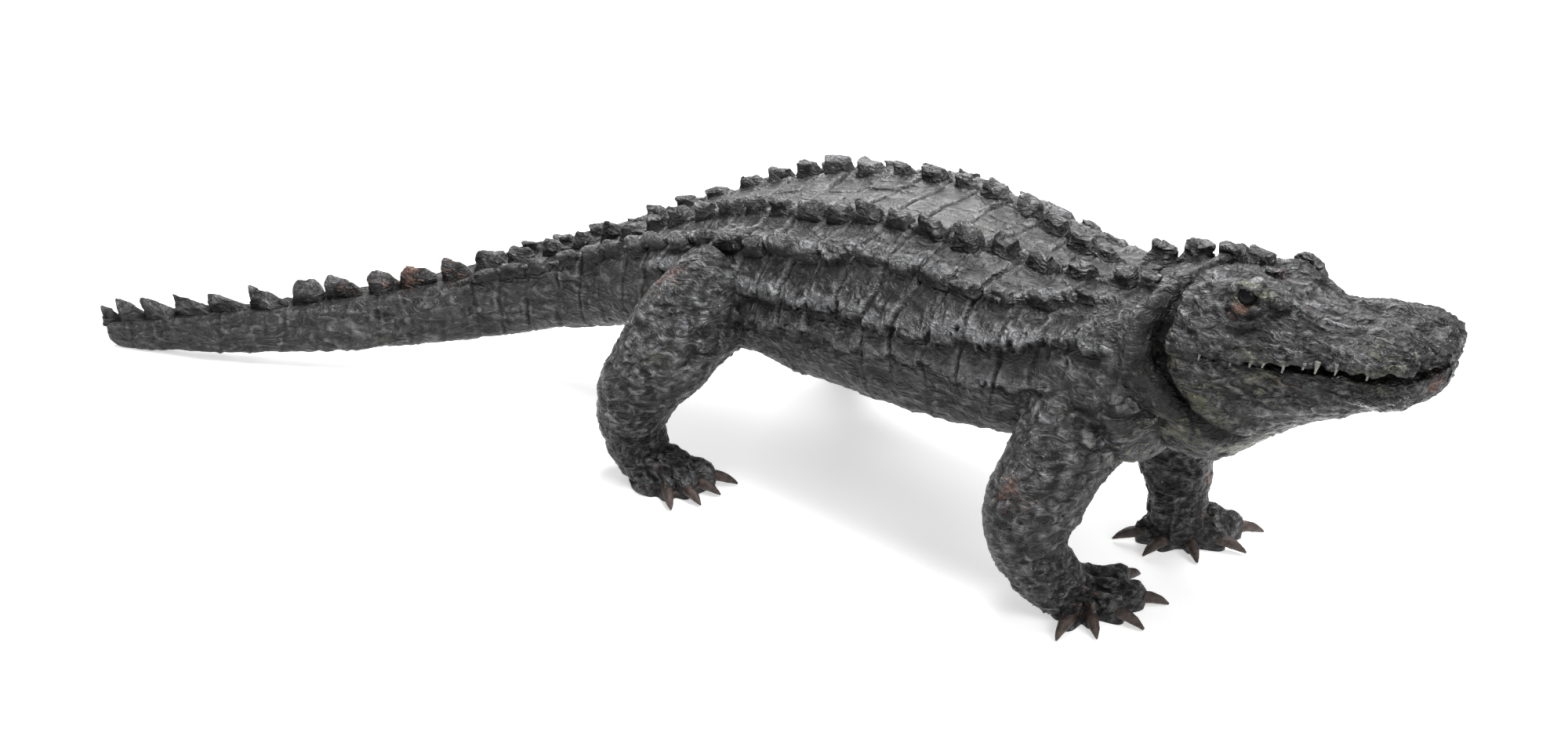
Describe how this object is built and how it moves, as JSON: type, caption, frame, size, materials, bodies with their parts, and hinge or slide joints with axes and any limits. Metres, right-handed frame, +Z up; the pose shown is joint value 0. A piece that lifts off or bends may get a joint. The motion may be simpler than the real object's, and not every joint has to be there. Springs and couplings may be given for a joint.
{
  "type": "metal alligator sculpture",
  "caption": "Life-size dark metal alligator walking on four clawed feet, its head raised and jaws closed, its back ridged with scutes and its tail swept to one side.",
  "frame": {"origin": "middle of the bounding box on the floor, in the plane of the soles", "axes": "+X along the trunk towards the head, +Y towards the animal's left side, +Z up"},
  "size_m": [2.0576, 0.6824, 0.486],
  "materials": {
    "patinated_metal": "dark grey patina, satin, with worn rust-red and green patches"
  },
  "bodies": {
    "root": {"alligator": "patinated_metal"}
  },
  "joints": []
}
